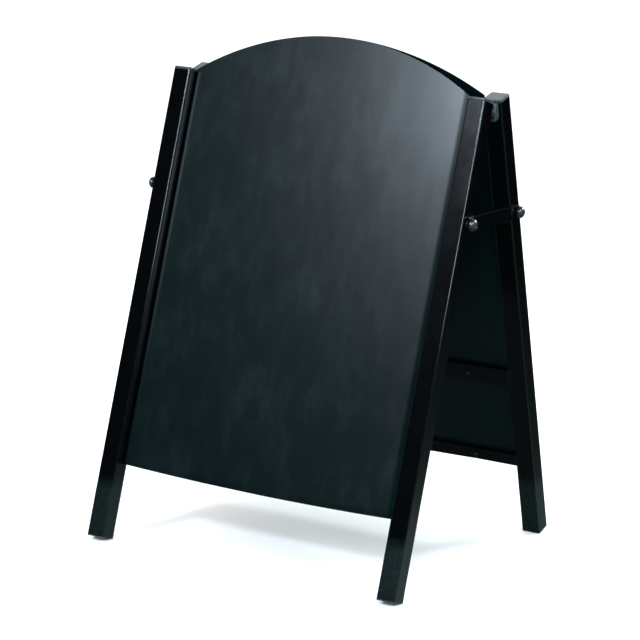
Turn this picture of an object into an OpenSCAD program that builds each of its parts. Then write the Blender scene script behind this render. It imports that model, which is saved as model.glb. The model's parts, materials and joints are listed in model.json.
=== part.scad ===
// Folding pavement board. Two arched sheet-steel panels stand on four
// square-tube legs, hinged in pairs at the top. A hooked stay on each side
// holds the pair open, and swings up along the front leg as the board folds.
// Units are millimetres, +Z is up, -Y is the front and the floor is Z = 0.

/* [Legs] */
// Width over the outer faces of the legs
frame_w = 581.5; // [520:0.5:640]
// Side of the square leg tube
tube = 32; // [30:0.5:34]
// Wall thickness of the leg tube
tube_wall = 1.5; // [1.2:0.1:2]
// Outer corner radius of the leg tube
tube_r = 3; // [2:0.5:4]
// Length of a leg along its axis, foot and cap included
leg_l = 788; // [760:1:820]
// Lean of each leg from the vertical, in degrees
lean = 16.4; // [14:0.1:18]
// Gap between the front and the rear leg at their tops
top_gap = 19; // [18:0.5:24]
// Thickness of the cap above the tube
cap_t = 5; // [4:0.5:6]
// Bevel round the cap's top
cap_bevel = 1.5; // [0.8:0.1:2.5]
// Thickness of the foot below the tube
foot_t = 2; // [1.5:0.1:3]
// Depth of each plastic plug inside the tube
plug_l = 10; // [8:0.5:10]
// Height trimmed off the foot's inner edge to give it a level strip
foot_trim = 1.1; // [0.8:0.1:1.3]

/* [Panels] */
// Distance from the leg's outward face back to the panel's face
panel_set = 18; // [16:0.5:20]
// Thickness of the panel sheet
sheet_t = 1.2; // [0.8:0.1:1.5]
// Outer radius of the rolled side edges
edge_r = 5; // [4:0.5:6]
// Depth of the panel's tray, face to rail
tray_d = 5.5; // [5:0.1:6]
// Gap between the panel's side and the leg
side_gap = 0.6; // [0.5:0.1:1.5]
// Radius of the arched top
arch_r = 477; // [440:1:520]
// Height of the arch's top along the leg
arch_top = 863; // [840:1:880]
// Height of the bottom corners along the leg
panel_low = 124.5; // [110:0.5:140]
// Drop of the curved bottom edge at its middle
bottom_sag = 4.9; // [3:0.1:8]

/* [Rails] */
// Thickness of the flat-bar rails
rail_t = 5; // [4:0.5:6]
// Height of the bottom and the top rail
rail_h = 20; // [16:1:24]
// Height of the middle rail
mid_rail_h = 30; // [24:1:34]
// Lower edge of the bottom rail along the leg
bottom_rail_l = 125; // [120:1:140]
// Lower edge of the middle rail along the leg
mid_rail_l = 275; // [240:1:340]
// Lower edge of the top rail along the leg
top_rail_l = 715; // [680:1:725]
// Distance of the outer studs from the centre line
stud_x = 182; // [150:1:210]

/* [Hinges] */
// Height of the hinge pin along the leg
pivot_l = 780; // [776:0.5:782]
// Radius of the hinge pin
pin_r = 3; // [2.5:0.1:3.5]
// Thickness of the hinge leaf and of its ears
leaf_t = 2.5; // [2:0.1:3]
// Width of a hinge leaf
leaf_w = 22; // [21:0.5:24]
// Lower end of a hinge leaf along the leg
leaf_low = 752; // [745:1:756]

/* [Stays] */
// Height of the stay bolts along the leg
stay_l = 592; // [560:1:600]
// Height of the flat-bar stay
stay_h = 22; // [20:0.5:26]
// Thickness of the stay
stay_t = 3; // [2:0.5:4]
// Radius of the stay bolts
bolt_r = 4; // [3:0.1:4.5]
// Diameter of the domed knobs
knob_d = 19.5; // [16:0.5:24]
// Height of the domed knobs
knob_h = 11; // [10:0.5:14]

/* [Hidden] */
$fn = 48;
// Play between flat faces of pieces that turn on one another
play = 0.3;
// Radial play of a pin in its bore
pin_play = 0.06;
// How far a cut runs past the piece it cuts
over = 1;
// Inner corners of the tube are this much rounder than its wall alone gives
corner_fill = 0.3;
// Play across a plug in its tube
plug_play = 0.2;
// Panel studs: thread, collar, rail hole, and length past the rail
stud_r = 2.5;
collar_r = 4.5;
stud_hole_r = 2.8;
stud_past = 6;
// Nuts on the panel studs: corner radius, height and bore
nut_r = 4.6;
nut_h = 4;
nut_bore_r = 2.55;
// Blind rivets: heights above the leaf's lower end, shank, hole and both heads
rivet_up = [7, 17];
rivet_r = 2;
rivet_hole_r = 2.1;
rivet_head_r = 3.6;
rivet_head_h = 1.2;
rivet_blind_r = 3;
rivet_blind_h = 2.5;
// Metal round the hinge pin, and the pin's heads
eye_wall = 3.5;
pin_head_w = 1.5;
pin_head_t = 1.4;
pin_past = 1;
// Hexagonal head of a stay bolt, inside the leg, and thread inside the knob
bolt_head_r = 7.5;
bolt_head_h = 4;
bolt_in_knob = 6;
bolt_hole_play = 0.1;
// Washers between the legs and the stays
washer_r = 9;
washer_t = 1.5;
// Step between the knob's skirt and its ball, seen from above and from the side
knob_step = 0.5;
knob_drop = 0.6;
knob_bore_play = 0.05;
knob_bore_past = 0.5;
// Sine and cosine of the lean
sl = sin(lean);
cl = cos(lean);
// World position of the outward bottom corner of a front leg
base_y = -top_gap / 2 - leg_l * sl - tube * cl;
base_z = tube * sl - foot_trim;
// Centre line of the right-hand legs and inner face of the legs
leg_x = (frame_w - tube) / 2;
inner_x = frame_w / 2 - tube;
// Half width of the panel and length of the flat between its rolled edges
half_w = inner_x - side_gap;
flat_w = half_w - edge_r;
// Radius of the curved bottom edge
bottom_r = (flat_w * flat_w + bottom_sag * bottom_sag) / (2 * bottom_sag);
// Depth of the rails' outward face
rail_set = panel_set + tray_d;
// Distance of the hinge pin from the legs' inward faces, and its world height
pivot_e = (top_gap / 2 + (leg_l - pivot_l) * sl) / cl;
pivot_d = tube + pivot_e;
pivot_z = base_z + pivot_l * cl - pivot_d * sl;
// Front stay bolt in the world, and the distance between the two bolts
stay_y = base_y + stay_l * sl + tube / 2 * cl;
stay_z = base_z + stay_l * cl - tube / 2 * sl;
stay_c = -2 * stay_y;
// Stack along X outside the leg: washer, stay and knob
stay_x = frame_w / 2 + washer_t + play;
knob_x = stay_x + stay_t + play;
// Path of the rear bolt as it leaves the hook, in the first degrees of folding
hinge_reach = sqrt(stay_y * stay_y + (pivot_z - stay_z) * (pivot_z - stay_z));
half_open = asin(stay_c / 2 / hinge_reach);
stay_ratio = (90 - lean) / (2 * lean);
leave = 1.6;
leave_c = 2 * hinge_reach * sin(half_open - leave / 2);
leave_a = (stay_ratio + 0.5) * leave;
hook_a = atan2(stay_c - leave_c * cos(leave_a), leave_c * sin(leave_a));
hook_r = bolt_r + 0.5;

// Places leg coordinates in the world: X across, Y back from the leg's
// outward face, Z up along the leg from its bottom end.
module on_front() {
  translate([0, base_y, base_z])
    rotate([-lean, 0, 0])
      children();
}

// The same for the rear frame, which mirrors the front one.
module on_rear() {
  mirror([0, 1, 0])
    on_front()
      children();
}

// Both left and right copies of something drawn on the right.
module both_sides() {
  children();
  mirror([1, 0, 0])
    children();
}

module rounded_square(side, r) {
  square([side - 2 * r, side], center = true);
  square([side, side - 2 * r], center = true);
  for (x = [-1, 1])
    for (y = [-1, 1])
      translate([x * (side / 2 - r), y * (side / 2 - r)])
        circle(r = r);
}

// Tube of the right-hand leg in leg coordinates, with holes for the stay
// bolt in its outer wall and for the hinge rivets in its inward wall.
module leg_tube() {
  difference() {
    translate([leg_x, tube / 2, foot_t])
      linear_extrude(leg_l - foot_t - cap_t)
        difference() {
          rounded_square(tube, tube_r);
          rounded_square(tube - 2 * tube_wall, tube_r - tube_wall + corner_fill);
        }
    translate([leg_x, tube / 2, stay_l])
      rotate([0, 90, 0])
        cylinder(r = bolt_r + bolt_hole_play, h = tube);
    for (l = rivet_heights())
      translate([leg_x, tube + over, l])
        rotate([90, 0, 0])
          cylinder(r = rivet_hole_r, h = tube / 2);
  }
}

function rivet_heights() = [for (up = rivet_up) leaf_low + up];

module front_leg_right() {
  color([0.03, 0.03, 0.035]) on_front() leg_tube();
}

module front_leg_left() {
  color([0.03, 0.03, 0.035]) on_front() mirror([1, 0, 0]) leg_tube();
}

module rear_leg_right() {
  color([0.03, 0.03, 0.035]) on_rear() leg_tube();
}

module rear_leg_left() {
  color([0.03, 0.03, 0.035]) on_rear() mirror([1, 0, 0]) leg_tube();
}

// Outline of the panel seen from the front, X across and Y up the leg.
module panel_outline(half) {
  intersection() {
    translate([-half, 0])
      square([2 * half, arch_top + 10]);
    translate([0, arch_top - arch_r])
      circle(r = arch_r, $fn = 360);
    translate([0, panel_low - bottom_sag + bottom_r])
      circle(r = bottom_r, $fn = 720);
  }
}

// Stands a drawing of the panel's outline up at the given depth.
module upright(depth, thick) {
  translate([0, depth + thick, 0])
    rotate([90, 0, 0])
      linear_extrude(thick)
        children();
}

// One rolled side edge as a section, X across and Y back from the face.
module edge_section() {
  intersection() {
    difference() {
      translate([flat_w, edge_r])
        circle(r = edge_r);
      translate([flat_w, edge_r])
        circle(r = edge_r - sheet_t);
    }
    translate([flat_w, 0])
      square([edge_r, edge_r]);
  }
  translate([half_w - sheet_t, edge_r])
    square([sheet_t, tray_d - edge_r]);
}

// The sheet-metal tray: a flat face, rolled sides and a lip along the bottom.
module panel_tray() {
  upright(panel_set, sheet_t)
    panel_outline(flat_w);
  both_sides()
    intersection() {
      upright(panel_set, tray_d)
        panel_outline(half_w);
      translate([0, panel_set, panel_low - 10])
        linear_extrude(arch_top)
          edge_section();
    }
  upright(panel_set, tray_d)
    difference() {
      intersection() {
        panel_outline(flat_w);
        translate([-flat_w, panel_low - 10])
          square([2 * flat_w, 40]);
      }
      translate([0, panel_low - bottom_sag + bottom_r])
        circle(r = bottom_r - sheet_t, $fn = 720);
    }
}

module front_panel() {
  color([0.06, 0.09, 0.09]) on_front() panel_tray();
}

module rear_panel() {
  color([0.06, 0.09, 0.09]) on_rear() panel_tray();
}

// Flat-bar rail welded between the legs, with its three stud holes.
module rail(low, high) {
  difference() {
    translate([-inner_x, rail_set, low])
      cube([2 * inner_x, rail_t, high]);
    for (x = [-stud_x, 0, stud_x])
      translate([x, rail_set + rail_t + over, low + high / 2])
        rotate([90, 0, 0])
          cylinder(r = stud_hole_r, h = rail_t + 2 * over);
  }
}

module front_bottom_rail() {
  color([0.03, 0.03, 0.035]) on_front() rail(bottom_rail_l, rail_h);
}

module front_mid_rail() {
  color([0.03, 0.03, 0.035]) on_front() rail(mid_rail_l, mid_rail_h);
}

module front_top_rail() {
  color([0.03, 0.03, 0.035]) on_front() rail(top_rail_l, rail_h);
}

module rear_bottom_rail() {
  color([0.03, 0.03, 0.035]) on_rear() rail(bottom_rail_l, rail_h);
}

module rear_mid_rail() {
  color([0.03, 0.03, 0.035]) on_rear() rail(mid_rail_l, mid_rail_h);
}

module rear_top_rail() {
  color([0.03, 0.03, 0.035]) on_rear() rail(top_rail_l, rail_h);
}

// Puts something at each stud, drawn with +Z running inward from depth zero.
module at_studs() {
  for (l = [bottom_rail_l + rail_h / 2, mid_rail_l + mid_rail_h / 2, top_rail_l + rail_h / 2])
    for (x = [-stud_x, 0, stud_x])
      translate([x, 0, l])
        rotate([-90, 0, 0])
          children();
}

// Collar stud welded to the panel's back, passing through a rail.
module stud() {
  translate([0, 0, panel_set + sheet_t])
    cylinder(r = collar_r, h = tray_d - sheet_t);
  translate([0, 0, panel_set + sheet_t])
    cylinder(r = stud_r, h = tray_d - sheet_t + rail_t + stud_past);
}

module nut() {
  translate([0, 0, rail_set + rail_t])
    difference() {
      cylinder(r = nut_r, h = nut_h, $fn = 6);
      translate([0, 0, -over])
        cylinder(r = nut_bore_r, h = nut_h + 2 * over);
    }
}

module front_studs() {
  color([0.6, 0.6, 0.62]) on_front() at_studs() stud();
}

module rear_studs() {
  color([0.6, 0.6, 0.62]) on_rear() at_studs() stud();
}

module front_nuts() {
  color([0.6, 0.6, 0.62]) on_front() at_studs() nut();
}

module rear_nuts() {
  color([0.6, 0.6, 0.62]) on_rear() at_studs() nut();
}

// Side view of the cap's bevelled top, X across and Y up from the tube's end.
module cap_side() {
  h = tube / 2;
  polygon([[-h, 0], [h, 0], [h, cap_t - cap_bevel], [h - cap_bevel, cap_t],
    [cap_bevel - h, cap_t], [-h, cap_t - cap_bevel]]);
}

// Plastic cap closing the top of the right-hand leg.
module cap() {
  translate([leg_x, tube / 2, leg_l - cap_t]) {
    intersection() {
      linear_extrude(cap_t)
        rounded_square(tube, tube_r);
      translate([0, tube / 2, 0])
        rotate([90, 0, 0])
          linear_extrude(tube)
            cap_side();
      translate([-tube / 2, 0, 0])
        rotate([90, 0, 90])
          linear_extrude(tube)
            cap_side();
    }
    plug(-plug_l);
  }
}

// Part of a cap or foot that sits inside the tube.
module plug(from) {
  translate([0, 0, from])
    linear_extrude(plug_l)
      rounded_square(tube - 2 * tube_wall - plug_play, tube_r - tube_wall + plug_play);
}

// Plastic foot of the right-hand leg, before it is trimmed level.
module foot() {
  translate([leg_x, tube / 2, 0]) {
    linear_extrude(foot_t)
      rounded_square(tube, tube_r);
    plug(foot_t);
  }
}

// Leaves only what is above the floor.
module trimmed() {
  difference() {
    children();
    translate([-frame_w, -frame_w, -tube])
      cube([2 * frame_w, 2 * frame_w, tube]);
  }
}

module front_caps() {
  color([0.1, 0.11, 0.11]) on_front() both_sides() cap();
}

module rear_caps() {
  color([0.1, 0.11, 0.11]) on_rear() both_sides() cap();
}

module front_feet() {
  color([0.1, 0.11, 0.11]) trimmed() on_front() both_sides() foot();
}

module rear_feet() {
  color([0.1, 0.11, 0.11]) trimmed() on_rear() both_sides() foot();
}

// Hinge leaf of the right-hand leg. Its two ears stand this far from its
// centre line, so the front ears straddle the rear ones.
module leaf(ear_x) {
  difference() {
    union() {
      translate([leg_x - leaf_w / 2, tube, leaf_low + leaf_w / 2])
        cube([leaf_w, leaf_t, leg_l - cap_t - leaf_low - leaf_w / 2]);
      translate([leg_x, tube, leaf_low + leaf_w / 2])
        rotate([-90, 0, 0])
          cylinder(r = leaf_w / 2, h = leaf_t);
      for (x = [-ear_x, ear_x])
        ear(leg_x + x);
    }
    for (l = rivet_heights())
      translate([leg_x, tube - over, l])
        rotate([-90, 0, 0])
          cylinder(r = rivet_hole_r, h = leaf_t + 2 * over);
    translate([leg_x - leaf_w, pivot_d, pivot_l])
      rotate([0, 90, 0])
        cylinder(r = pin_r + pin_play, h = 2 * leaf_w);
  }
}

// One ear, running from the leaf to a round eye at the hinge pin.
module ear(x) {
  eye = pin_r + eye_wall;
  translate([x - leaf_t / 2, pivot_d, pivot_l])
    rotate([0, 90, 0])
      cylinder(r = eye, h = leaf_t);
  translate([x - leaf_t / 2, 0, 0])
    rotate([90, 0, 90])
      linear_extrude(leaf_t)
        polygon([[tube, leaf_low + leaf_w / 2], [tube, leg_l - cap_t],
          [pivot_d, pivot_l + eye], [pivot_d, pivot_l - eye]]);
}

module front_hinge_leaves() {
  color([0.5, 0.52, 0.52]) on_front() both_sides() leaf(leaf_w / 2 - leaf_t / 2);
}

module rear_hinge_leaves() {
  color([0.5, 0.52, 0.52]) on_rear() both_sides() leaf(leaf_w / 2 - leaf_t * 1.5 - 2 * play);
}

module hinge_pins() {
  color([0.5, 0.52, 0.52])
    both_sides()
      translate([leg_x, 0, pivot_z])
        rotate([0, 90, 0]) {
          cylinder(r = pin_r, h = leaf_w + 2 * pin_head_w, center = true);
          for (z = [-1, 1])
            translate([0, 0, z * (leaf_w / 2 + pin_past)])
              cylinder(r = pin_r + pin_head_w, h = pin_head_t, center = true);
        }
}

// Blind rivets of one hinge leaf.
module hinge_rivets() {
  for (l = rivet_heights())
    translate([leg_x, tube + leaf_t, l])
      rotate([90, 0, 0]) {
        cylinder(r = rivet_r, h = leaf_t + tube_wall + rivet_blind_h);
        translate([0, 0, -rivet_head_h])
          cylinder(r = rivet_head_r, h = rivet_head_h);
        translate([0, 0, leaf_t + tube_wall])
          cylinder(r = rivet_blind_r, h = rivet_blind_h);
      }
}

module front_hinge_rivets() {
  color([0.6, 0.6, 0.62]) on_front() both_sides() hinge_rivets();
}

module rear_hinge_rivets() {
  color([0.6, 0.6, 0.62]) on_rear() both_sides() hinge_rivets();
}

// Right-hand stay seen from the side, X back from the front bolt and Y up.
module stay_outline() {
  difference() {
    union() {
      translate([0, -stay_h / 2])
        square([stay_c, stay_h]);
      circle(r = stay_h / 2);
      translate([stay_c, 0])
        circle(r = stay_h / 2);
    }
    circle(r = bolt_r + pin_play);
    translate([stay_c, 0])
      circle(r = hook_r);
    translate([stay_c, 0])
      rotate(-hook_a)
        translate([-hook_r, -stay_h])
          square([2 * hook_r, stay_h]);
  }
}

module stay() {
  translate([stay_x, stay_y, stay_z])
    rotate([90, 0, 90])
      linear_extrude(stay_t)
        stay_outline();
}

module stay_right() {
  color([0.03, 0.03, 0.035]) stay();
}

module stay_left() {
  color([0.03, 0.03, 0.035]) mirror([1, 0, 0]) stay();
}

// Puts something at the right-hand stay bolt, drawn with +Z running outward.
module at_bolt() {
  translate([0, tube / 2, stay_l])
    rotate([0, 90, 0])
      children();
}

// Stay bolt, its head held inside the leg by the outer wall.
module bolt() {
  at_bolt() {
    translate([0, 0, frame_w / 2 - tube_wall])
      cylinder(r = bolt_r, h = knob_x + bolt_in_knob - frame_w / 2 + tube_wall);
    translate([0, 0, frame_w / 2 - tube_wall - bolt_head_h])
      cylinder(r = bolt_head_r, h = bolt_head_h, $fn = 6);
  }
}

module washer() {
  at_bolt()
    translate([0, 0, frame_w / 2])
      difference() {
        cylinder(r = washer_r, h = washer_t);
        translate([0, 0, -over])
          cylinder(r = bolt_r + bolt_hole_play, h = washer_t + 2 * over);
      }
}

// Domed knob screwed on the bolt: a skirt, a ball rising from it and a blind bore.
module knob() {
  r = knob_d / 2;
  ball = r - knob_step;
  at_bolt()
    translate([0, 0, knob_x])
      difference() {
        union() {
          cylinder(r = r, h = knob_h - ball - knob_drop);
          intersection() {
            translate([0, 0, knob_h - ball])
              sphere(r = ball, $fn = 72);
            cylinder(r = r, h = knob_h + over);
          }
        }
        translate([0, 0, -over])
          cylinder(r = bolt_r + knob_bore_play, h = over + bolt_in_knob + knob_bore_past);
      }
}

module front_stay_bolts() {
  color([0.6, 0.6, 0.62]) on_front() both_sides() bolt();
}

module rear_stay_bolts() {
  color([0.6, 0.6, 0.62]) on_rear() both_sides() bolt();
}

module front_washers() {
  color([0.05, 0.05, 0.05]) on_front() both_sides() washer();
}

module rear_washers() {
  color([0.05, 0.05, 0.05]) on_rear() both_sides() washer();
}

module front_knobs() {
  color([0.04, 0.04, 0.04]) on_front() both_sides() knob();
}

module rear_knobs() {
  color([0.04, 0.04, 0.04]) on_rear() both_sides() knob();
}

front_leg_left();
front_leg_right();
rear_leg_left();
rear_leg_right();
front_panel();
rear_panel();
front_bottom_rail();
front_mid_rail();
front_top_rail();
rear_bottom_rail();
rear_mid_rail();
rear_top_rail();
front_caps();
rear_caps();
front_feet();
rear_feet();
front_studs();
rear_studs();
front_nuts();
rear_nuts();
front_hinge_leaves();
rear_hinge_leaves();
hinge_pins();
front_hinge_rivets();
rear_hinge_rivets();
stay_left();
stay_right();
front_stay_bolts();
rear_stay_bolts();
front_washers();
rear_washers();
front_knobs();
rear_knobs();
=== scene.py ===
# Folding pavement board: enamelled tube frames, two arched chalkboard panels, hooked stays.
import json
import math

import bmesh
import bpy
from mathutils import Matrix, Vector, noise

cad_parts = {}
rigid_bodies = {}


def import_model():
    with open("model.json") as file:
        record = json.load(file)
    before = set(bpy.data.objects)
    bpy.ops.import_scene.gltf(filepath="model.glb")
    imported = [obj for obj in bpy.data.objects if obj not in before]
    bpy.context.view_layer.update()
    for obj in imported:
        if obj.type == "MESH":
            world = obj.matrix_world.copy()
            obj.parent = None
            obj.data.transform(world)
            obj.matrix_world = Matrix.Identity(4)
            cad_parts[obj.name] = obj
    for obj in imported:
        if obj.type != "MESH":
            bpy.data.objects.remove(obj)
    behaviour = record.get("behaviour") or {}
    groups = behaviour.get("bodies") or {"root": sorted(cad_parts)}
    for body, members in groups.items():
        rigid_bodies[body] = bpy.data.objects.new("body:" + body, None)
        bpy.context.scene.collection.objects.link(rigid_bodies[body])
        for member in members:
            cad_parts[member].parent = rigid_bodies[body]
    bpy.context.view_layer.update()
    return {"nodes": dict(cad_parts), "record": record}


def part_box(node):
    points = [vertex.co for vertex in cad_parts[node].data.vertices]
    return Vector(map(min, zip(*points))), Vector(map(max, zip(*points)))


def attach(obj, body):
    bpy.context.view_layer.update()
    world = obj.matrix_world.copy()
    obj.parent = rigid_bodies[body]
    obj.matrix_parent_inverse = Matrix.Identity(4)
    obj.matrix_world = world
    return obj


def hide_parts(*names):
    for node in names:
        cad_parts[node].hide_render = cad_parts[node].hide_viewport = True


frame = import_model()
scene = bpy.context.scene
scene.view_settings.view_transform = "Standard"  # keeps the pale floor and black paint as they are

mm = 0.001
pi = math.pi

camera = {
    "azimuth": 31.1,     # degrees round from the front panel towards the right
    "elevation": 12.0,
    "roll": 2.04,
    "distance": 4.084,
    "lens": 140.5,       # millimetres on a 36 mm sensor
    "lookAt": 0.449,     # height on the board's centre line
    "slide": -0.0172,    # sideways and upward offsets of the view
    "lift": -0.0804,
}


def makeCamera(c):
    az, el, roll = (math.radians(c[k]) for k in ("azimuth", "elevation", "roll"))
    ahead = Vector((-math.sin(az) * math.cos(el), math.cos(az) * math.cos(el), -math.sin(el)))
    level = Vector((math.cos(az), math.sin(az), 0))
    above = level.cross(ahead)
    right = level * math.cos(roll) + above * math.sin(roll)
    up = above * math.cos(roll) - level * math.sin(roll)
    aim = Vector((0, 0, c["lookAt"])) + right * c["slide"] + up * c["lift"]
    data = bpy.data.cameras.new("camera")
    data.lens = c["lens"]
    data.sensor_width = 36
    obj = bpy.data.objects.new("camera", data)
    obj.matrix_world = Matrix.Translation(aim - ahead * c["distance"]) @ Matrix(
        (right, up, -ahead)).transposed().to_4x4()
    scene.collection.objects.link(obj)
    scene.camera = obj


makeCamera(camera)
print("camera placed")

board = {
    "lean": math.radians(16.4),
    "tube": 32 * mm,
    "foot": 2 * mm,       # foot plate under the tube
    "cap": 5 * mm,        # cap over the tube
    "leg": 788 * mm,      # whole leg, foot and cap included
}
sinLean, cosLean = math.sin(board["lean"]), math.cos(board["lean"])
legLow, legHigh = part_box("front_leg_right")
baseY = legLow.y - board["foot"] * sinLean
baseZ = legLow.z - board["foot"] * cosLean + board["tube"] * sinLean
legX = (legLow.x + legHigh.x) / 2
innerX = legLow.x


# Across, depth in from the outward face and height up the leg, as a world matrix.
def boardMatrix(rear=False):
    s = -1 if rear else 1
    return Matrix((
        (1, 0, 0, 0),
        (0, s * cosLean, s * sinLean, s * baseY),
        (0, -sinLean, cosLean, baseZ),
        (0, 0, 0, 1)))


def hexToLinear(code):
    channels = [int(code[i:i + 2], 16) / 255 for i in (1, 3, 5)]
    return tuple(c / 12.92 if c <= 0.04045 else ((c + 0.055) / 1.055) ** 2.4 for c in channels) + (1,)


# Adds a node and sets its properties and inputs. The inputs are given by name or in the node's own
# order, and one given as a node or a socket is linked.
def addNode(tree, kind, inputs=(), **settings):
    made = tree.nodes.new("ShaderNode" + kind)
    for key, value in settings.items():
        setattr(made, key, value)
    for key, value in inputs.items() if isinstance(inputs, dict) else enumerate(inputs):
        if isinstance(value, bpy.types.Node):
            value = value.outputs[0]
        if isinstance(value, bpy.types.NodeSocket):
            tree.links.new(value, made.inputs[key])
        else:
            made.inputs[key].default_value = value
    return made


colourA, colourB, colourOut = 6, 7, 2    # the Mix node's colour sockets
even = (1, 1, 1)


# A new material, its node tree, the object's own coordinates, and one noise for each row of
# (size in millimetres, detail, roughness, stretch along x, y and z).
def newMaterial(name, grains):
    material = bpy.data.materials.new(name)
    material.use_nodes = True
    tree = material.node_tree
    tree.nodes.clear()
    coords = addNode(tree, "TexCoord").outputs["Object"]
    noises = []
    for size, detail, rough, stretch in grains:
        mapped = addNode(tree, "Mapping", {"Vector": coords, "Scale": stretch})
        noises.append(addNode(tree, "TexNoise", {
            "Vector": mapped, "Scale": 1 / (size * mm), "Detail": detail, "Roughness": rough}))
    return material, tree, coords, noises


enamel = {
    "black": "#020304",
    "specks": "#7c8c90",
    "speckLevel": 0.012,
    # pale teal painted on the lowest ends, a painted reflection of the pale floor
    "paintedReflection": "#0a1819",
    "paintedReflectionFrom": 0.105,         # metres above the floor: no painted reflection above the first, the full painted reflection below the second
    "paintedReflectionFull": 0.085,         # grimy below the second
    "paintedReflectionRagged": 0.012,       # how far the painted reflection's upper edge wanders, in metres
    "paintedReflectionThinnest": 0.35,
    "paintedReflectionRoughness": 0.2,
    "roughness": (0.1, 0.135),
    "peelDepth": 0.006,         # millimetres
    "raggedSpread": (0.3, 0.7),     # noise levels that each effect runs between
    "patchSpread": (0.3, 0.75),
    "speckSpread": (0.6, 0.85),
    "wipeSpread": (0.3, 0.75),
    "grains": ((2.6, 2, 0.5, even), (45, 4, 0.6, even), (3.5, 5, 0.7, even)),
}


# Stoved gloss enamel on welded steel: nearly black and mirror-like, with a faint orange peel.
# The lowest ends are painted a paler teal and made duller: a painted reflection of the pale floor in the
# gloss.
def stovedEnamel():
    e = enamel
    material, tree, coords, (peel, wipe, specksAndReflection) = newMaterial("stovedEnamel", e["grains"])
    # Painted reflection: below about a tenth of a metre the enamel is mixed towards pale teal, with a ragged,
    # patchy upper edge, standing in for the pale floor seen in the gloss.
    height = addNode(tree, "SeparateXYZ", [coords]).outputs["Z"]
    wander = addNode(tree, "MapRange", [specksAndReflection, *e["raggedSpread"], -e["paintedReflectionRagged"], e["paintedReflectionRagged"]])
    ragged = addNode(tree, "Math", [height, wander], operation="ADD")
    low = addNode(tree, "MapRange", [ragged, e["paintedReflectionFrom"], e["paintedReflectionFull"], 0, 1])
    patchy = addNode(tree, "MapRange", [specksAndReflection, *e["patchSpread"], e["paintedReflectionThinnest"], 1])
    paintedReflection = addNode(tree, "Math", [low, patchy], operation="MULTIPLY")
    speck = addNode(tree, "MapRange", [specksAndReflection, *e["speckSpread"], 0, e["speckLevel"]])
    black, specks, reflectionTint = (hexToLinear(e[k]) for k in ("black", "specks", "paintedReflection"))
    specked = addNode(tree, "Mix", {"Factor": speck, colourA: black, colourB: specks}, data_type="RGBA")
    colour = addNode(tree, "Mix", {
        "Factor": paintedReflection, colourA: specked.outputs[colourOut], colourB: reflectionTint}, data_type="RGBA")
    wiped = addNode(tree, "MapRange", [wipe, *e["wipeSpread"], *e["roughness"]])
    dulled = addNode(tree, "Math", [paintedReflection, e["paintedReflectionRoughness"]], operation="MULTIPLY")
    shader = addNode(tree, "BsdfPrincipled", {
        "Base Color": colour.outputs[colourOut],
        "Roughness": addNode(tree, "Math", [wiped, dulled], operation="ADD"),
        "IOR": 1.5,
        "Normal": addNode(tree, "Bump", {"Height": peel, "Distance": e["peelDepth"] * mm, "Strength": 1})})
    addNode(tree, "OutputMaterial", [shader])
    return material


chalkboard = {
    "paint": "#000c0d",
    "chalk": "#72b4b4",
    "chalkLevel": 0.006,
    "roughness": (0.228, 0.256),
    "stripFrom": 0.239,         # metres right of the middle where the unwiped strip begins
    "stripFull": 0.2475,
    "stripRoughness": 0.13,
    "toothDepth": 0.012,        # millimetres
    "chalkSpread": (0.24, 0.44),
    "wearSpread": (0.15, 0.42),
    "grains": ((1.1, 3, 0.6, even), (130, 5, 0.62, even), (24, 4, 0.6, (1, 1, 0.3))),
}


# Chalkboard paint rolled on sheet steel: a deep green-black satin with the faint haze and
# downward streaks that a wiping cloth leaves in old chalk. The strip beside the right leg, where
# the cloth hasn't reached, keeps more of its gloss and so looks darker.
def chalkboardPaint():
    c = chalkboard
    material, tree, coords, (tooth, haze, wipes) = newMaterial("chalkboardPaint", c["grains"])
    cloud = addNode(tree, "Math", [haze, wipes], operation="MULTIPLY")
    chalk = addNode(tree, "MapRange", [cloud, *c["chalkSpread"], 0, c["chalkLevel"]])
    colour = addNode(tree, "Mix", {
        "Factor": chalk, colourA: hexToLinear(c["paint"]), colourB: hexToLinear(c["chalk"])},
        data_type="RGBA")
    across = addNode(tree, "SeparateXYZ", [coords]).outputs["X"]
    strip = addNode(tree, "MapRange", [across, c["stripFrom"], c["stripFull"], 0, 1],
                    interpolation_type="SMOOTHSTEP")
    worn = addNode(tree, "MapRange", [cloud, *c["wearSpread"], *c["roughness"]])
    shader = addNode(tree, "BsdfPrincipled", {
        "Base Color": colour.outputs[colourOut],
        "Roughness": addNode(tree, "Mix", {"Factor": strip, "A": worn, "B": c["stripRoughness"]}),
        "IOR": 1.5,
        "Normal": addNode(tree, "Bump", {"Height": tooth, "Distance": c["toothDepth"] * mm, "Strength": 1})})
    addNode(tree, "OutputMaterial", [shader])
    return material


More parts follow.
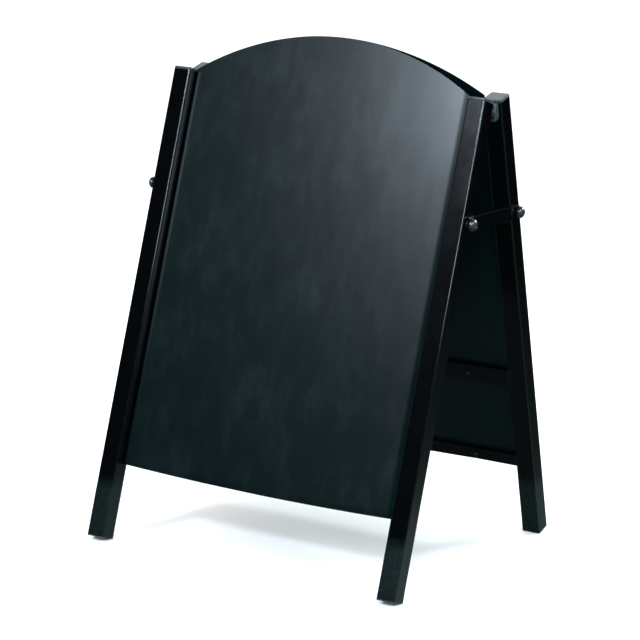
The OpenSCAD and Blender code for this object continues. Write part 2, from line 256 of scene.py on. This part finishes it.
# Moulded and plated skins. Each has two tones mixed by its first grain between the levels of
# "spread", one roughness or a range of it, and "relief" rows of (grain, depth in millimetres,
# strength), each laid over the one before.
skins = {
    # Injection-moulded polypropylene: black with a fine spark-eroded texture, greyed in patches
    # where hands and weather have rubbed it.
    "mouldedPolypropylene": {
        "tones": ("#070d0e", "#394547"),
        "spread": (0.38, 0.66),
        "roughness": (0.26, 0.44),
        "shader": {"IOR": 1.49},
        "grains": ((6, 5, 0.68, even), (0.7, 2, 0.5, even)),
        "relief": ((1, 0.03, 1), (0, 0.25, 0.5)),
    },
    # The same plastic after standing on pavements: greyed, scuffed and dusty.
    "scuffedPolypropylene": {
        "tones": ("#15191a", "#5b6162"),
        "spread": (0.42, 0.7),
        "roughness": 0.6,
        "shader": {"IOR": 1.49},
        "grains": ((4, 6, 0.7, (1, 1, 0.4)),),
        "relief": ((0, 0.08, 1),),
    },
    # Compression-moulded phenolic: deep black, and polished, so each knob carries a soft highlight.
    "polishedPhenolic": {
        "tones": ("#0c1112", "#141b1c"),
        "spread": (0.3, 0.7),
        "roughness": 0.36,
        "shader": {"IOR": 1.9, "Coat Weight": 1, "Coat Roughness": 0.24},
        "grains": ((3, 2, 0.5, even),),
        "relief": ((0, 0.01, 1),),
    },
    # Moulded nylon: dull black, slightly waxy.
    "mouldedNylon": {
        "tones": ("#0b0c0d", "#191c1d"),
        "spread": (0.3, 0.7),
        "roughness": 0.5,
        "shader": {"IOR": 1.53},
        "grains": ((1.1, 3, 0.5, even),),
        "relief": ((0, 0.02, 1),),
    },
    # Zinc plate on pressed steel, dulled outdoors: bluish grey, cloudy, with drawn-steel lines.
    "zincPlate": {
        "tones": ("#6f8689", "#34413f"),
        "spread": (0.3, 0.7),
        "roughness": (0.26, 0.4),
        "shader": {"Metallic": 0.65},
        "grains": ((5, 4, 0.6, even), (1.2, 2, 0.5, (1, 1, 0.08))),
        "relief": ((1, 0.015, 1),),
    },
    # Black zinc on bolts, studs and nuts: near black, with a soft metallic sheen and rubbed spots.
    "blackZinc": {
        "tones": ("#0e1314", "#465053"),
        "spread": (0.5, 0.8),
        "roughness": (0.34, 0.46),
        "shader": {"Metallic": 0.6},
        "grains": ((2.5, 4, 0.6, even),),
        "relief": ((0, 0.02, 1),),
    },
}


roughSpread = (0.3, 0.7)


def mottledSkin(name):
    look = skins[name]
    material, tree, _, noises = newMaterial(name, look["grains"])
    tone = addNode(tree, "MapRange", [noises[0], *look["spread"], 0, 1])
    dark, pale = (hexToLinear(code) for code in look["tones"])
    colour = addNode(tree, "Mix", {"Factor": tone, colourA: dark, colourB: pale}, data_type="RGBA")
    rough = look["roughness"]
    if isinstance(rough, tuple):
        rough = addNode(tree, "MapRange", [noises[0], *roughSpread, *rough])
    inputs = {"Base Color": colour.outputs[colourOut], "Roughness": rough, **look["shader"]}
    for which, depth, strength in look["relief"]:
        height = {"Height": noises[which], "Distance": depth * mm, "Strength": strength}
        if "Normal" in inputs:
            height["Normal"] = inputs["Normal"]
        inputs["Normal"] = addNode(tree, "Bump", height)
    addNode(tree, "OutputMaterial", [addNode(tree, "BsdfPrincipled", inputs)])
    return material


black = stovedEnamel()
finish = {
    "leg_paint": black,
    "rail_paint": black,
    "stay_paint": black,
    "panel_paint": chalkboardPaint(),
    "cap_plastic": mottledSkin("mouldedPolypropylene"),
    "foot_plastic": mottledSkin("scuffedPolypropylene"),
    "knob_plastic": mottledSkin("polishedPhenolic"),
    "washer_nylon": mottledSkin("mouldedNylon"),
    "hinge_steel": mottledSkin("zincPlate"),
    "zinc_steel": mottledSkin("blackZinc"),
}

for part in frame["record"]["subparts"]:
    node = frame["nodes"][part["node"]]
    node.data.materials.clear()
    node.data.materials.append(finish[part["material_slot"]])
print("materials made")

bodyOf = {name: node.parent.name.split(":")[-1] for name, node in frame["nodes"].items()}
slotOf = {part["node"]: part["material_slot"] for part in frame["record"]["subparts"]}


# Turns finished geometry into a named piece that stands for one node, or rides beside one.
# An open sheet says which way it faces, and creases sharper than the angle stay sharp.
def makePiece(name, bm, like, replace=True, angle=35, faceAway=None):
    if faceAway is None:
        bmesh.ops.recalc_face_normals(bm, faces=bm.faces)
    elif sum((f.normal.dot(faceAway) * f.calc_area() for f in bm.faces)) < 0:
        bmesh.ops.reverse_faces(bm, faces=bm.faces)
    mesh = bpy.data.meshes.new(name)
    bm.to_mesh(mesh)
    bm.free()
    mesh.materials.append(finish[slotOf[like]])
    mesh.polygons.foreach_set("use_smooth", [True] * len(mesh.polygons))
    mesh.set_sharp_from_angle(angle=math.radians(angle))
    obj = bpy.data.objects.new(name, mesh)
    scene.collection.objects.link(obj)
    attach(obj, bodyOf[like])
    if replace:
        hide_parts(like)
    return obj


# The width is in millimetres.
def softenEdges(obj, width, angle=40):
    bevel = obj.modifiers.new("softEdges", "BEVEL")
    bevel.width = width * mm
    bevel.segments = 2
    bevel.limit_method = "ANGLE"
    bevel.angle_limit = math.radians(angle)
    bevel.harden_normals = True


# Turns a profile of (radius, height) points, in millimetres, about the place's own Z.
def turned(bm, profile, place, steps=40):
    rings = []
    for radius, height in profile:
        count = 1 if radius == 0 else steps
        rings.append([bm.verts.new(place @ Vector((
            radius * mm * math.cos(2 * pi * i / steps), radius * mm * math.sin(2 * pi * i / steps),
            height * mm))) for i in range(count)])
    for low, high in zip(rings, rings[1:]):
        for i in range(steps):
            j = (i + 1) % steps
            corners = [low[i % len(low)], low[j % len(low)], high[j % len(high)], high[i % len(high)]]
            unique = list(dict.fromkeys(corners))
            if len(unique) > 2:
                bm.faces.new(unique)


# Joins rings of equal length into a skin; the ends may be closed.
def skin(bm, rings, close=True, cap=True):
    for low, high in zip(rings, rings[1:]):
        n = len(low)
        for i in range(n if close else n - 1):
            j = (i + 1) % n
            bm.faces.new((low[i], low[j], high[j], high[i]))
    if cap:
        bm.faces.new(rings[0])
        bm.faces.new(rings[-1])


# The matrices of one frame's right and left sides.
def sides(rear):
    return [boardMatrix(rear) @ Matrix.Diagonal((side, 1, 1, 1)) for side in (1, -1)]


panel = {
    "face": 18 * mm,        # depth of the sheet's face behind the legs' faces
    "tray": 5.5 * mm,       # depth of the folded tray
    "sheet": 1.2 * mm,
    "half": 258.15 * mm,
    "roll": 5 * mm,         # radius of the rolled sides
    "archRadius": 477 * mm,
    "archTop": 863 * mm,
    "low": 124.5 * mm,      # bottom corners
    "sag": 4.9 * mm,        # drop of the bottom edge at its middle
    "lip": 2.2 * mm,        # bend radius of the bottom lip
    "crease": 0.3 * mm,     # the flat face ends this far before the rolled sides
    "ripple": 0.22 * mm,    # how far the sheet wanders from flat
    "rippleAcross": 6.5,    # waves to a metre, across and up
    "rippleUp": 5,
    "rippleFade": 50 * mm,  # no ripple at the rolls, all of it this far from them
    "edgeSoft": 0.25,
    "rollSteps": 8,
    "faceSteps": 56,
    "lipSteps": 5,
    "rowCount": 84,
}


def panelSheet(name, like, rear):
    p = panel
    flat = p["half"] - p["roll"]
    bottomRadius = (flat ** 2 + p["sag"] ** 2) / (2 * p["sag"])
    section = []
    for i in range(p["rollSteps"] + 1):
        turn = pi / 2 * (1 - i / p["rollSteps"])
        section.append((-flat - p["roll"] * math.sin(turn), p["roll"] * (1 - math.cos(turn))))
    section.insert(0, (-p["half"], p["tray"]))
    section.append((-flat + p["crease"], 0))
    for i in range(1, p["faceSteps"]):
        section.append((-flat + 2 * flat * i / p["faceSteps"], 0))
    section.append((flat - p["crease"], 0))
    section += [(-x, d) for x, d in reversed(section[:p["rollSteps"] + 2])]
    place = boardMatrix(rear)
    bm = bmesh.new()
    rows = []

    def columnEnds(x):
        high = p["archTop"] - p["archRadius"] + math.sqrt(p["archRadius"] ** 2 - x ** 2)
        low = p["low"] - p["sag"] + bottomRadius - math.sqrt(bottomRadius ** 2 - min(abs(x), flat) ** 2)
        return low, high

    def wander(x, along):
        seed = 12.1 if rear else 3.1
        away = noise.noise(Vector((x * p["rippleAcross"], along * p["rippleUp"], seed)))
        near = min(1, (flat - abs(x)) / p["rippleFade"]) if abs(x) < flat else 0
        return away * p["ripple"] * max(0, near)

    for step in range(-1, p["lipSteps"]):
        row = []
        for x, d in section:
            low = columnEnds(x)[0]
            bend = min(p["lip"], p["tray"] - d)
            if step < 0:
                spot = (x, p["face"] + p["tray"], low)
            else:
                turn = pi / 2 * (1 - step / p["lipSteps"])
                back, rise = bend * (1 - math.cos(turn)), bend * (1 - math.sin(turn))
                spot = (x, p["face"] + d + back, low + rise)
            row.append(bm.verts.new(place @ Vector(spot)))
        rows.append(row)
    for step in range(p["rowCount"] + 1):
        row = []
        for x, d in section:
            low, high = columnEnds(x)
            start = low + min(p["lip"], p["tray"] - d)
            along = start + (high - start) * step / p["rowCount"]
            row.append(bm.verts.new(place @ Vector((x, p["face"] + d + wander(x, along), along))))
        rows.append(row)
    skin(bm, rows, close=False, cap=False)
    bmesh.ops.remove_doubles(bm, verts=bm.verts, dist=0.02 * mm)
    bmesh.ops.dissolve_degenerate(bm, edges=bm.edges, dist=0.01 * mm)
    outward = Vector((0, 1 if rear else -1, 0))
    bm.normal_update()
    obj = makePiece(name, bm, like, angle=50, faceAway=outward)
    thick = obj.modifiers.new("sheetSteel", "SOLIDIFY")
    thick.thickness = p["sheet"]
    thick.offset = -1
    softenEdges(obj, p["edgeSoft"], 60)


panelSheet("frontPanelSheet", "front_panel", False)
panelSheet("rearPanelSheet", "rear_panel", True)
print("panels folded")

cap = {
    "bevel": 1.5,         # all in millimetres
    "bevelSteps": 5,
    "crown": 0.35,        # rise of the slightly domed top
    "corner": 3,          # radius of the square's corners, the same as the tube's
    "cornerSteps": 6,
    "sharpest": 0.3,      # least radius where the square is pulled in
    "shrink": 0.6,        # how fast the radius falls as it is
    "crownLevels": ((4, 0.5), (8, 0.15), (13, 0)),    # inset, and drop as a share of the crown
    "wall": 1.7,          # the plug is this far inside the tube's face
    "plug": 10,
    "seam": 0.35,         # chamfer that leaves a fine seam on the tube
}
foot = {
    "chamfer": ((0.8, 0), (0.2, 0.25), (0, 0.7)),    # inset and height, in millimetres
    "seam": 0.3,
}


# A ring of points round a square with rounded corners, pulled in by an inset.
def squareRing(bm, place, inset, height):
    half = board["tube"] / mm / 2 - inset
    radius = max(cap["sharpest"], cap["corner"] - inset * cap["shrink"])
    steps = cap["cornerSteps"]
    ring = []
    for quarter in range(4):
        base = quarter * pi / 2
        cx = (half - radius) * (1 if quarter in (0, 3) else -1)
        cy = (half - radius) * (1 if quarter in (0, 1) else -1)
        for i in range(steps + 1):
            a = base + pi / 2 * i / steps
            ring.append(bm.verts.new(place @ Vector((
                (cx + radius * math.cos(a)) * mm, (cy + radius * math.sin(a)) * mm, height * mm))))
    return ring


def capsAndFeet(rear):
    word = "rear" if rear else "front"
    wall, plug, seam = cap["wall"], cap["plug"], cap["seam"]
    top = board["cap"] / mm
    shoulder = top - cap["bevel"] - cap["crown"]
    levels = [(wall, -plug), (wall, 0), (seam, 0), (0, seam), (0, shoulder)]
    for i in range(1, cap["bevelSteps"] + 1):
        turn = pi / 2 * i / cap["bevelSteps"]
        levels.append((cap["bevel"] * (1 - math.cos(turn)), shoulder + cap["bevel"] * math.sin(turn)))
    levels += [(inset, top - cap["crown"] * share) for inset, share in cap["crownLevels"]]
    bm = bmesh.new()
    for place in sides(rear):
        spot = place @ Matrix.Translation((legX, board["tube"] / 2, board["leg"] - board["cap"]))
        skin(bm, [squareRing(bm, spot, inset, height) for inset, height in levels])
    makePiece(word + "LegCaps", bm, word + "_caps", angle=60)
    top = board["foot"] / mm
    levels = [*foot["chamfer"], (0, top - foot["seam"]), (foot["seam"], top), (wall, top), (wall, top + plug)]
    bm = bmesh.new()
    for place in sides(rear):
        spot = place @ Matrix.Translation((legX, board["tube"] / 2, 0))
        skin(bm, [squareRing(bm, spot, inset, height) for inset, height in levels])
    bmesh.ops.recalc_face_normals(bm, faces=bm.faces)
    everything = bm.verts[:] + bm.edges[:] + bm.faces[:]
    cut = bmesh.ops.bisect_plane(
        bm, geom=everything, plane_co=(0, 0, 0), plane_no=(0, 0, -1), clear_outer=True)["geom_cut"]
    bmesh.ops.edgenet_fill(bm, edges=[g for g in cut if isinstance(g, bmesh.types.BMEdge)])
    makePiece(word + "LegFeet", bm, word + "_feet", angle=30)


# The feet are cut off level at the floor.
for rear in (False, True):
    capsAndFeet(rear)
print("caps and feet moulded")

rails = {
    "face": 23.5 * mm,
    "thick": 5 * mm,
    "bottom": (125 * mm, 145 * mm),
    "mid": (275 * mm, 305 * mm),
    "top": (715 * mm, 735 * mm),
    "studs": (-182 * mm, 0, 182 * mm),
    "edgeSoft": 0.7,
}
weld = {
    "half": 2.3,          # half width of the beads, in millimetres
    "flatness": 0.8,
    "ripplePitch": 2.4,
    "step": 0.45,
    "sides": 10,
    "inset": 0.4 * mm,    # the bead's middle is this far inside the leg's face
    "endGap": 1 * mm,
    "shares": (0.86, 0.12, 0.18),    # how much of the width is even, rippled and random
    "randomScale": 300,
    "thinnest": 0.02,
    "taper": 14,
    "sideSeeds": (5.3, -5.3),
}
nut = {
    "across": 8,
    "height": 4,
    "bore": 2.5,
    "steps": 36,
    "facing": 0.94,       # washer face, and where the turned corners begin, as shares of the flats
    "cornerFrom": 0.97,
    "cornerDrop": 0.75,
    "underDrop": 0.4,
    "twist": 0.7,         # radians from rail to rail, and for each metre across
    "twistAcross": 31,
}
stud = {
    "radius": 2.5,
    "pitch": 0.8,
    "threadDepth": 0.35,
    "from": 23.6,         # depths behind the legs' faces, in millimetres
    "to": 34.5,
    "collar": ((0, 19.2), (4.5, 19.2), (4.5, 23.5), (0, 23.5)),
    "steps": 24,
}


def barBlock(bm, place, low, high):
    corners = [bm.verts.new(place @ Vector((x, y, z))) for x in (low[0], high[0])
               for y in (low[1], high[1]) for z in (low[2], high[2])]
    for face in ((0, 1, 3, 2), (4, 5, 7, 6), (0, 1, 5, 4), (2, 3, 7, 6), (0, 2, 6, 4), (1, 3, 7, 5)):
        bm.faces.new([corners[i] for i in face])


# A weld bead: overlapping ripples laid along the joint between a rail and a leg.
def weldBead(bm, place, start, end, seed):
    w = weld
    steps = max(w["sides"], int((end - start) / (w["step"] * mm)))
    rings = []
    for step in range(steps + 1):
        t = step / steps
        along = start + (end - start) * t
        ripple = 0.5 + 0.5 * math.cos(2 * pi * (along / mm) / w["ripplePitch"])
        chance = noise.noise(Vector((seed, along * w["randomScale"], 0)))
        uneven = sum(share * part for share, part in zip(w["shares"], (1, ripple, chance)))
        fat = w["half"] * uneven * min(1, math.sqrt(max(w["thinnest"], t * (1 - t) * w["taper"])))
        ring = []
        for i in range(w["sides"]):
            a = 2 * pi * i / w["sides"]
            spot = Vector((math.cos(a) * fat * mm, math.sin(a) * fat * w["flatness"] * mm, along))
            ring.append(bm.verts.new(place @ spot))
        rings.append(ring)
    skin(bm, rings)


# A hexagon nut whose corners are turned down to a washer face.
def hexNut(bm, place):
    flat, height, bore, steps = nut["across"] / 2, nut["height"], nut["bore"], nut["steps"]
    facing = flat * nut["facing"]
    rings = [[] for _ in range(6)]
    for i in range(steps):
        a = 2 * pi * i / steps
        reach = flat / math.cos((a + pi / 6) % (pi / 3) - pi / 6)
        drop = max(0, (reach - flat * nut["cornerFrom"])) * nut["cornerDrop"]
        under = drop * nut["underDrop"]
        levels = ((bore, height), (facing, height), (reach, height - drop), (reach, under),
                  (facing, 0), (bore, 0))
        for ring, (radius, z) in zip(rings, levels):
            ring.append(bm.verts.new(place @ Vector((
                radius * math.cos(a) * mm, radius * math.sin(a) * mm, z * mm))))
    skin(bm, rings + [rings[0]], cap=False)


def threadedStud(bm, place):
    start, end, radius, pitch = (stud[k] for k in ("from", "to", "radius", "pitch"))
    profile = [(0, start), (radius, start)]
    z = start + pitch
    while z < end - 1:
        profile += [(radius, z), (radius - stud["threadDepth"], z + pitch / 2)]
        z += pitch
    profile += [(radius, end - pitch), (radius - 2 * stud["threadDepth"], end), (0, end)]
    turned(bm, profile, place, stud["steps"])


def railsAndFixings(rear):
    word = "rear" if rear else "front"
    place = boardMatrix(rear)
    depth = rails["face"] + rails["thick"]
    beads, nuts, studs = bmesh.new(), bmesh.new(), bmesh.new()
    for seed, level in enumerate(("bottom", "mid", "top")):
        low, high = rails[level]
        bm = bmesh.new()
        barBlock(bm, place, (-innerX, rails["face"], low), (innerX, depth, high))
        bar = makePiece(word + level.capitalize() + "Rail", bm, f"{word}_{level}_rail")
        softenEdges(bar, rails["edgeSoft"])
        for side, shift in zip(sides(rear), weld["sideSeeds"]):
            spot = side @ Matrix.Translation((innerX - weld["inset"], depth, 0))
            weldBead(beads, spot, low + weld["endGap"], high - weld["endGap"], seed + shift)
        for x in rails["studs"]:
            spot = place @ Matrix.Translation((x, 0, (low + high) / 2)) @ Matrix.Rotation(-pi / 2, 4, "X")
            turn = nut["twist"] * seed + x * nut["twistAcross"]    # no two nuts stop at one angle
            hexNut(nuts, spot @ Matrix.Translation((0, 0, depth)) @ Matrix.Rotation(turn, 4, "Z"))
            turned(studs, stud["collar"], spot, stud["steps"])
            threadedStud(studs, spot)
    makePiece(word + "RailWelds", beads, f"{word}_mid_rail", replace=False, angle=80)
    makePiece(word + "PanelNuts", nuts, word + "_nuts", angle=25)
    makePiece(word + "PanelStuds", studs, word + "_studs", angle=25)


for rear in (False, True):
    railsAndFixings(rear)
print("rails welded and panels bolted on")

hinge = {
    "pivot": 780 * mm,       # pin height along the leg
    "reach": 12.257 * mm,    # pin's distance behind the leg
    "leafWidth": 22 * mm,
    "leafThick": 2.5 * mm,
    "leafLow": 752 * mm,
    "leafHigh": 783 * mm,
    "rivets": (759 * mm, 769 * mm),
    "eye": 6.5 * mm,
    "earGap": 0.6 * mm,      # between a front ear and a rear one
    "earFoot": 0.2 * mm,     # the ears start this far inside the leaf
    "eyeFrom": pi / 2 + 0.1,    # radians
    "eyeSweep": pi + 0.25,
    "eyeSteps": 24,
    "leafSteps": 20,
    "rivetSteps": 32,
    "edgeSoft": 0.5,
    "rivet": ((0, -6.5), (3, -6.5), (3, -4), (2, -4), (2, 0), (3.6, 0), (3.6, 0.35), (3.3, 0.75),
              (2.5, 1.08), (1.5, 1.2), (1.1, 1.2), (1, 0.8), (0, 0.8)),
    "pinEnd": ((3, 11.3), (4.4, 11.35), (4.5, 11.7), (4.45, 12.1), (3.9, 12.45), (2.6, 12.6), (0, 12.5)),
}


# Extrudes a closed outline of (u, v) points between two offsets along a third axis.
def plate(bm, place, outline, near, far, order):
    rings = []
    for w in (near, far):
        ring = []
        for u, v in outline:
            spot = {order[0]: u, order[1]: v, order[2]: w}
            ring.append(bm.verts.new(place @ Vector((spot["x"], spot["y"], spot["z"]))))
        rings.append(ring)
    skin(bm, rings)


def hingeParts(rear):
    word = "rear" if rear else "front"
    h = hinge
    half, thick = h["leafWidth"] / 2, h["leafThick"]
    earX = half - thick * 1.5 - h["earGap"] if rear else half - thick / 2
    leaves, rivets = bmesh.new(), bmesh.new()
    pinDepth, earDepth = board["tube"] + h["reach"], board["tube"] + h["earFoot"]
    for place in sides(rear):
        outline = [(legX + half, h["leafHigh"]), (legX - half, h["leafHigh"])]
        for i in range(h["leafSteps"] + 1):
            a = pi * i / h["leafSteps"]
            outline.append((legX - half * math.cos(a), h["leafLow"] + half - half * math.sin(a)))
        plate(leaves, place, outline, board["tube"], board["tube"] + thick, "xzy")
        for ear in (-earX, earX):
            outline = [(earDepth, h["leafLow"] + half), (earDepth, h["leafHigh"])]
            for i in range(h["eyeSteps"] + 1):
                a = h["eyeFrom"] - h["eyeSweep"] * i / h["eyeSteps"]
                outline.append((pinDepth + h["eye"] * math.cos(a), h["pivot"] + h["eye"] * math.sin(a)))
            plate(leaves, place, outline, legX + ear - thick / 2, legX + ear + thick / 2, "yzx")
        for along in h["rivets"]:
            spot = place @ Matrix.Translation((legX, board["tube"] + thick, along))
            turned(rivets, h["rivet"], spot @ Matrix.Rotation(-pi / 2, 4, "X"), h["rivetSteps"])
    obj = makePiece(word + "HingeLeaves", leaves, word + "_hinge_leaves")
    softenEdges(obj, h["edgeSoft"])
    makePiece(word + "HingeRivets", rivets, word + "_hinge_rivets", angle=40)


for rear in (False, True):
    hingeParts(rear)

pins = bmesh.new()
pinLow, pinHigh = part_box("hinge_pins")
pinProfile = [(radius, -x) for radius, x in reversed(hinge["pinEnd"])] + list(hinge["pinEnd"])
for side in (1, -1):
    spot = Matrix.Translation((side * legX, 0, (pinLow.z + pinHigh.z) / 2)) @ Matrix.Rotation(pi / 2, 4, "Y")
    turned(pins, pinProfile, spot)
makePiece("hingePins", pins, "hinge_pins", angle=40)
print("hinges riveted")

stay = {
    "along": 592 * mm,
    "height": 22 * mm,
    "thick": 3 * mm,
    "inner": 292.55 * mm,
    "hook": 23.6,          # slope of the open notch, degrees
    "hookRadius": 4.5 * mm,
    "noseStep": 0.4 * mm,
    "noseSteps": 60,
    "endSteps": 24,
    "notchSteps": 16,
    "edgeSoft": 0.35,
}
boltY = baseY + stay["along"] * sinLean + board["tube"] / 2 * cosLean
boltZ = baseZ + stay["along"] * cosLean - board["tube"] / 2 * sinLean


# Side view of a stay: round ends and a slanting notch that hooks over the rear bolt.
def stayOutline():
    reach, half, radius = -2 * boltY, stay["height"] / 2, stay["hookRadius"]
    slope = math.radians(stay["hook"])
    across = Vector((math.cos(slope), -math.sin(slope)))
    down = Vector((-math.sin(slope), -math.cos(slope)))
    hub = Vector((reach, 0))
    steps, notchSteps = stay["endSteps"], stay["notchSteps"]
    turns = [pi * i / steps for i in range(steps + 1)]
    outline = [Vector((-half * math.sin(a), half * math.cos(a))) for a in turns]

    def meets(edge):
        fall = (half + (hub + across * edge).y) / -down.y
        return hub + across * edge + down * fall

    outline.append(meets(-radius))
    for i in range(notchSteps + 1):
        a = pi - pi * i / notchSteps
        outline.append(hub + across * radius * math.cos(a) - down * radius * math.sin(a))
    nose = hub + across * radius
    for i in range(stay["noseSteps"] + 1):
        spot = nose + down * (i * stay["noseStep"])
        if (spot - hub).length > half or spot.y < -half:
            break
    outline.append(spot)
    first = math.atan2(spot.y, spot.x - hub.x)
    for i in range(1, steps + 1):
        a = first + (pi / 2 - first) * i / steps
        outline.append(hub + Vector((math.cos(a), math.sin(a))) * half)
    return [(v.x, v.y) for v in outline]


for word, side in (("right", 1), ("left", -1)):
    bm = bmesh.new()
    place = Matrix.Diagonal((side, 1, 1, 1)) @ Matrix.Translation((0, boltY, boltZ))
    plate(bm, place, stayOutline(), stay["inner"], stay["inner"] + stay["thick"], "yzx")
    obj = makePiece(word + "Stay", bm, "stay_" + word)
    softenEdges(obj, stay["edgeSoft"])

knob = {
    "radius": 9.75,       # all in millimetres
    "height": 11,
    "skirt": 3.8,         # where it is widest
    "foot": ((0, 0), (7.4, 0), (8.1, 0.35), (8.75, 1.1), (9.3, 2), (9.63, 2.8)),
    "domeSteps": 16,
    "steps": 64,
    "from": 295.85,       # its flat side, from the board's middle
}
washer = {"outer": 9, "bore": 4.1, "thick": 1.5, "chamfer": 0.3, "boreChamfer": 0.2, "steps": 48}


def knobProfile():
    k = knob
    profile = list(k["foot"])
    for i in range(k["domeSteps"] + 1):
        turn = pi / 2 * i / k["domeSteps"]
        radius = k["radius"] * math.cos(turn) if i < k["domeSteps"] else 0
        profile.append((radius, k["skirt"] + (k["height"] - k["skirt"]) * math.sin(turn)))
    return profile


def washerProfile():
    outer, bore, thick = washer["outer"], washer["bore"], washer["thick"]
    edge, inside = washer["chamfer"], washer["boreChamfer"]
    return [(bore, inside), (bore, thick - inside), (bore + inside, thick), (outer - edge, thick),
            (outer, thick - edge), (outer, edge), (outer - edge, 0), (bore + inside, 0), (bore, inside)]


def knobsAndWashers(rear):
    word = "rear" if rear else "front"
    knobs, washers = bmesh.new(), bmesh.new()
    legSide = legX + board["tube"] / 2
    for place in sides(rear):
        bolt = Matrix.Translation((0, board["tube"] / 2, stay["along"])) @ Matrix.Rotation(pi / 2, 4, "Y")
        spot = place @ bolt
        turned(knobs, knobProfile(), spot @ Matrix.Translation((0, 0, knob["from"] * mm)), knob["steps"])
        turned(washers, washerProfile(), spot @ Matrix.Translation((0, 0, legSide)), washer["steps"])
    bmesh.ops.remove_doubles(washers, verts=washers.verts, dist=0.01 * mm)
    makePiece(word + "Knobs", knobs, word + "_knobs", angle=60)
    makePiece(word + "Washers", washers, word + "_washers", angle=60)


for rear in (False, True):
    knobsAndWashers(rear)
print("stays and knobs fitted")

studio = {
    "floor": "#fbfcfc",
    "floorHalf": 9,               # metres
    "dome": 1.3,                  # even white light on matt surfaces and in the open background
    "gloss": (0.75, 1, 1, 1),     # tint of what gloss paint sees
    "walls": 0.004,
    "skirting": 0.42,             # a paler band low on the walls, seen in the legs' sides
    "skirtingTop": 0.12,          # its fainter upper part, as a share
    "ground": 0.05,
    "sides": 0.3,
    "back": 0.3,
    "skirtingTopAt": (-0.17, -0.26),    # ray heights over which each part comes in or fades
    "skirtingAt": (-0.25, -0.32),
    "groundAt": (-0.34, -0.5),
    "backRise": (-0.04, 0.14),
    "sidesAt": (0.84, 0.98),            # how far sideways or backward a ray has to point
    "backAt": (0.45, 0.9),
}


def makeFloor():
    mesh = bpy.data.meshes.new("floor")
    half = studio["floorHalf"]
    corners = [(-half, -half, 0), (half, -half, 0), (half, half, 0), (-half, half, 0)]
    mesh.from_pydata(corners, [], [(0, 1, 2, 3)])
    floor = bpy.data.objects.new("floor", mesh)
    scene.collection.objects.link(floor)
    material, tree, *_ = newMaterial("paintedFloor", ())
    addNode(tree, "OutputMaterial", [addNode(tree, "BsdfPrincipled", {
        "Base Color": hexToLinear(studio["floor"]), "Roughness": 0.9, "Specular IOR Level": 0})])
    mesh.materials.append(material)
    floor.visible_glossy = False


# Matt surfaces and the open background get an even white dome. Gloss surfaces see a dark room
# instead, with a pale band low on its walls and soft brighter walls at the sides and the back.
# A ray's height runs from -1 straight down to 1 straight up.
def makeWorld():
    s = studio
    world = bpy.data.worlds.new("studio")
    world.use_nodes = True
    world.cycles.sampling_method = "NONE"
    tree = world.node_tree
    tree.nodes.clear()
    direction = addNode(tree, "TexCoord").outputs["Generated"]
    parts = addNode(tree, "SeparateXYZ", [direction]).outputs
    sideways, backward, height = parts["X"], parts["Y"], parts["Z"]
    soft = {"interpolation_type": "SMOOTHSTEP"}
    faint = addNode(tree, "MapRange", [height, *s["skirtingTopAt"], 0, s["skirting"] * s["skirtingTop"]])
    band = addNode(tree, "MapRange", [height, *s["skirtingAt"], 0, s["skirting"]], **soft)
    fade = addNode(tree, "MapRange", [height, *s["groundAt"], 1, s["ground"] / s["skirting"]])
    both = addNode(tree, "Math", [faint, band], operation="ADD")
    low = addNode(tree, "Math", [both, fade], operation="MULTIPLY")
    outward = addNode(tree, "Math", [sideways], operation="ABSOLUTE")
    sideWall = addNode(tree, "MapRange", [outward, *s["sidesAt"], 0, s["sides"]], **soft)
    behind = addNode(tree, "MapRange", [backward, *s["backAt"], 0, s["back"]], **soft)
    raised = addNode(tree, "MapRange", [height, *s["backRise"], 0, 1], **soft)
    backWall = addNode(tree, "Math", [behind, raised], operation="MULTIPLY")
    brighter = addNode(tree, "Math", [low, sideWall], operation="MAXIMUM")
    plain = addNode(tree, "Math", [backWall, s["walls"]], operation="ADD")
    level = addNode(tree, "Math", [brighter, plain], operation="ADD")
    dim = addNode(tree, "Background", {"Color": s["gloss"], "Strength": level})
    pale = addNode(tree, "Background", {"Color": (1, 1, 1, 1), "Strength": s["dome"]})
    glossy = addNode(tree, "LightPath").outputs["Is Glossy Ray"]
    addNode(tree, "OutputWorld", [addNode(tree, "MixShader", [glossy, pale, dim])])
    scene.world = world


# Square soft lamps: place, height of the point on the centre line that each is aimed at, side in
# metres, power in watts and colour.
lamps = {
    "overhead": ((-1.3, 1.7, 3.0), 0.8, 2.0, 27, "#ffffff"),
    "leftKey": ((-0.97, -3.1, 2.33), 0.6, 0.45, 85, "#e2f0ff"),
    "rightFill": ((1.5, -2.65, 1.7), 0.6, 0.7, 41, "#d6eeff"),
    "sideFill": ((3.0, -1.0, 2.5), 0.6, 0.7, 40, "#e2faff"),
    "backKey": ((1.7, 2.8, 2.2), 0.6, 0.5, 70, "#e6f6ff"),
}


def softbox(name, place, aimHeight, side, power, colour):
    data = bpy.data.lights.new(name, "AREA")
    data.shape = "RECTANGLE"
    data.size = data.size_y = side
    data.energy = power
    data.color = hexToLinear(colour)[:3]
    obj = bpy.data.objects.new(name, data)
    obj.location = place
    obj.rotation_euler = (Vector((0, 0, aimHeight)) - Vector(place)).to_track_quat("-Z", "Y").to_euler()
    obj.visible_camera = False
    scene.collection.objects.link(obj)


makeFloor()
makeWorld()
for name, lamp in lamps.items():
    softbox(name, *lamp)
print("studio lit")
